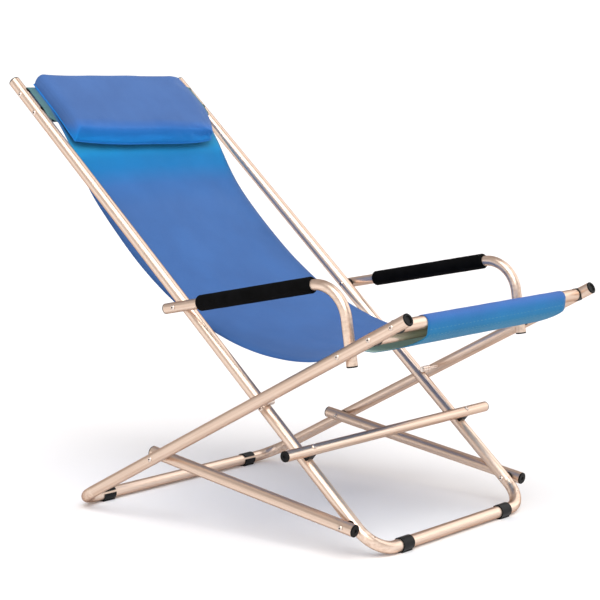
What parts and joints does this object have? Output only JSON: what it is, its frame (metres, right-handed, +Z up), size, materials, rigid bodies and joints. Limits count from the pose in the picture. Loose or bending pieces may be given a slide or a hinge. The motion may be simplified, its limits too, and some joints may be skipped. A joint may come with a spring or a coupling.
{
  "type": "folding sling deck chair",
  "caption": "Folding reclining deck chair: crossed tube frames joined by armrests and lower links, with a fabric sling and head pillow.",
  "frame": {"origin": "on the floor, below the middle of the chair's bounding box", "axes": "+Z up, -Y the way the sitter faces, X across the chair"},
  "size_m": [0.688, 1.1416, 0.9272],
  "materials": {
    "frame_tube": "satin champagne anodised",
    "rivet": "satin",
    "black_plastic": "moulded",
    "foam": "closed-cell foam",
    "sling_fabric": "plain weave",
    "pillow_fabric": "plain weave, padded"
  },
  "bodies": {
    "back_frame": {"back_tube_right": "frame_tube", "back_tube_left": "frame_tube", "front_floor_bar": "frame_tube", "head_bar_upper": "frame_tube", "head_bar_lower": "frame_tube", "head_bar_saddles": "black_plastic", "head_bar_rivets": "rivet", "back_tube_plugs": "black_plastic", "stop_bar": "frame_tube", "stop_bar_saddles": "black_plastic", "stop_bar_plugs": "black_plastic", "stop_bar_rivets": "rivet", "crossing_rivets": "rivet", "front_foot_clips": "black_plastic", "arm_rear_rivets": "rivet", "arm_rear_spacers": "black_plastic", "link_front_rivets": "rivet", "link_front_spacers": "black_plastic", "sling": "sling_fabric", "head_pillow": "pillow_fabric"},
    "armrests": {"arm_tube_right": "frame_tube", "arm_tube_left": "frame_tube", "arm_grip_right": "foam", "arm_grip_left": "foam", "arm_plugs": "black_plastic"},
    "seat_frame": {"seat_tube_right": "frame_tube", "seat_tube_left": "frame_tube", "rear_floor_bar": "frame_tube", "seat_bar_front": "frame_tube", "seat_bar_rear": "frame_tube", "seat_bar_saddles": "black_plastic", "seat_bar_rivets": "rivet", "seat_tube_plugs": "black_plastic", "stop_pins": "rivet", "stop_sleeves": "black_plastic", "rear_foot_clips": "black_plastic", "arm_front_rivets": "rivet", "arm_front_spacers": "black_plastic", "link_rear_rivets": "rivet", "link_rear_spacers": "black_plastic"},
    "lower_links": {"link_right": "frame_tube", "link_left": "frame_tube", "link_plugs": "black_plastic", "link_inner_rivets": "rivet"}
  },
  "joints": [
    {"name": "armrest_fold", "type": "hinge", "parent": "back_frame", "child": "armrests", "pos_m": [0, 0.04656, 0.4551], "axis": [-1, 0, 0], "range_deg": [0, 136], "deforming": ["sling"]},
    {"name": "seat_fold", "type": "hinge", "parent": "armrests", "child": "seat_frame", "pos_m": [0, -0.40772, 0.39861], "axis": [-1, 0, 0], "range_deg": [-33.9, 0]},
    {"name": "link_fold", "type": "hinge", "parent": "back_frame", "child": "lower_links", "pos_m": [0, -0.39035, 0.06308], "axis": [-1, 0, 0], "range_deg": [-31.95, 0]}
  ],
  "couplings": [
    {"joint": "seat_fold", "follows": "armrest_fold", "ratio": -0.24891},
    {"joint": "link_fold", "follows": "armrest_fold", "ratio": -0.23455}
  ]
}
